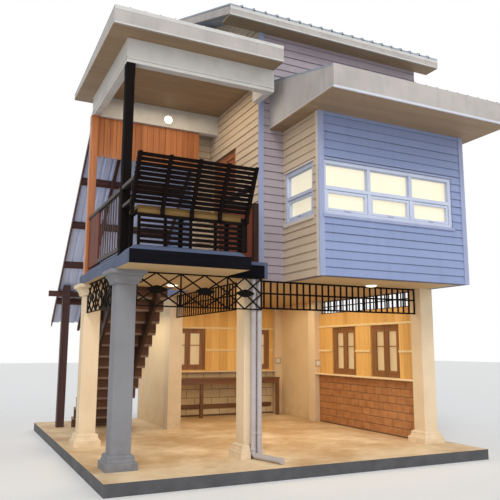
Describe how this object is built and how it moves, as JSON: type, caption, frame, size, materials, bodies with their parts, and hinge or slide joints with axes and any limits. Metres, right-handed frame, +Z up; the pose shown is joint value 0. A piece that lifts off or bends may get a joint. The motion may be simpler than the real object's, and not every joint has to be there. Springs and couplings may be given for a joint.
{
  "type": "stilt house",
  "caption": "House on concrete columns with an open ground storey, a stair under a canopy, a balcony with a built-in slatted bench, and a boarded upper room with a projecting window box",
  "frame": {"origin": "centre of the roof's plan, on the ground under the slab", "axes": "+X to the right along the front, +Y to the back, +Z up"},
  "size_m": [5.95, 7.245, 8.0115],
  "materials": {
    "slab_concrete": "trowelled concrete, worn",
    "column_render": "painted cement render, weathered",
    "wall_plaster": "painted plaster",
    "amber_boards": "oiled upright boards",
    "brown_timber": "oiled hardwood, worn",
    "lit_glass": "clear glass over warm light",
    "dark_steel": "dark painted steel",
    "dark_timber": "dark stained timber",
    "white_pipe": "smooth white plastic",
    "floor_concrete": "painted concrete edge",
    "edge_board": "near-black painted board",
    "beam_paint": "white painted timber",
    "red_timber": "red-brown varnished timber",
    "orange_timber": "orange-brown varnished timber",
    "white_siding": "white painted lapped boards",
    "white_joinery": "white gloss paint",
    "roof_metal": "ribbed painted sheet",
    "soffit_board": "painted soffit boards",
    "canopy_metal": "white ribbed sheet",
    "lamp": "lit white diffuser"
  },
  "bodies": {
    "root": {"ground_slab": "slab_concrete", "balcony_columns": "column_render", "front_columns": "column_render", "rear_columns": "column_render", "low_walls": "wall_plaster", "board_walls": "amber_boards", "plaster_walls": "wall_plaster", "ground_window_frames": "brown_timber", "ground_window_glass": "lit_glass", "sill_shelf": "wall_plaster", "wall_counter": "brown_timber", "front_lattice": "dark_steel", "side_lattice": "dark_steel", "front_bar_frieze": "dark_steel", "inner_bar_frieze": "dark_steel", "side_bar_frieze": "dark_steel", "stair_strings": "brown_timber", "stair_treads": "brown_timber", "stair_risers": "dark_timber", "downpipes": "white_pipe", "upper_floor": "floor_concrete", "deck_edge_boards": "edge_board", "deck_posts": "dark_timber", "deck_header": "beam_paint", "side_railing": "dark_timber", "stair_guard": "red_timber", "right_guard": "red_timber", "stairhead_post": "orange_timber", "stairhead_valance": "orange_timber", "bench_seat": "dark_timber", "bench_backrest": "dark_timber", "bench_skirt": "dark_timber", "box_front_wall": "white_siding", "box_side_walls": "white_siding", "room_front_wall": "white_siding", "deck_side_wall": "white_siding", "stair_side_wall": "white_siding", "room_back_wall": "white_siding", "room_right_wall": "white_siding", "upper_window_frames": "white_joinery", "upper_window_glass": "lit_glass", "deck_door": "orange_timber", "roof_sheets": "roof_metal", "roof_ribs": "roof_metal", "roof_fascias": "white_joinery", "roof_soffits": "soffit_board", "canopy_sheet": "canopy_metal", "canopy_frame": "dark_timber", "canopy_post": "dark_timber", "ceiling_lights": "lamp"}
  },
  "joints": []
}
